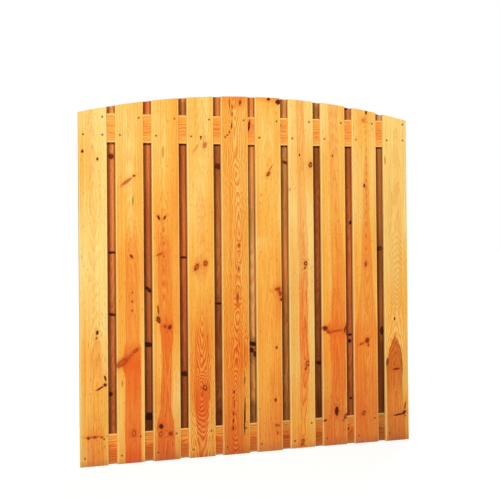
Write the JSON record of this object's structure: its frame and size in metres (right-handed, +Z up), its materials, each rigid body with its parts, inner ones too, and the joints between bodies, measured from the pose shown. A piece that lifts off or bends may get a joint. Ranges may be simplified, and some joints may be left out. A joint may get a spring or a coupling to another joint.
{
  "type": "fence panel",
  "caption": "Arched wooden garden fence panel: front planks with open gaps, rear planks covering the gaps, and two flat rails nailed between the rows.",
  "frame": {"origin": "floor level, in the middle of the panel's width and depth", "axes": "+Z up, +X to the right as seen from the front, front planks on the -Y side"},
  "size_m": [1.8, 0.048, 1.8],
  "materials": {
    "front_pine": "planed, oiled",
    "rear_pine": "planed, oiled",
    "rail_pine": "planed, oiled",
    "nail_steel": "dull zinc"
  },
  "bodies": {
    "root": {"front_plank_01": "front_pine", "front_plank_02": "front_pine", "front_plank_03": "front_pine", "front_plank_04": "front_pine", "front_plank_05": "front_pine", "front_plank_06": "front_pine", "front_plank_07": "front_pine", "front_plank_08": "front_pine", "front_plank_09": "front_pine", "front_plank_10": "front_pine", "rear_plank_01": "rear_pine", "rear_plank_02": "rear_pine", "rear_plank_03": "rear_pine", "rear_plank_04": "rear_pine", "rear_plank_05": "rear_pine", "rear_plank_06": "rear_pine", "rear_plank_07": "rear_pine", "rear_plank_08": "rear_pine", "rear_plank_09": "rear_pine", "top_rail": "rail_pine", "bottom_rail": "rail_pine", "front_nails": "nail_steel", "rear_nails": "nail_steel"}
  },
  "joints": []
}
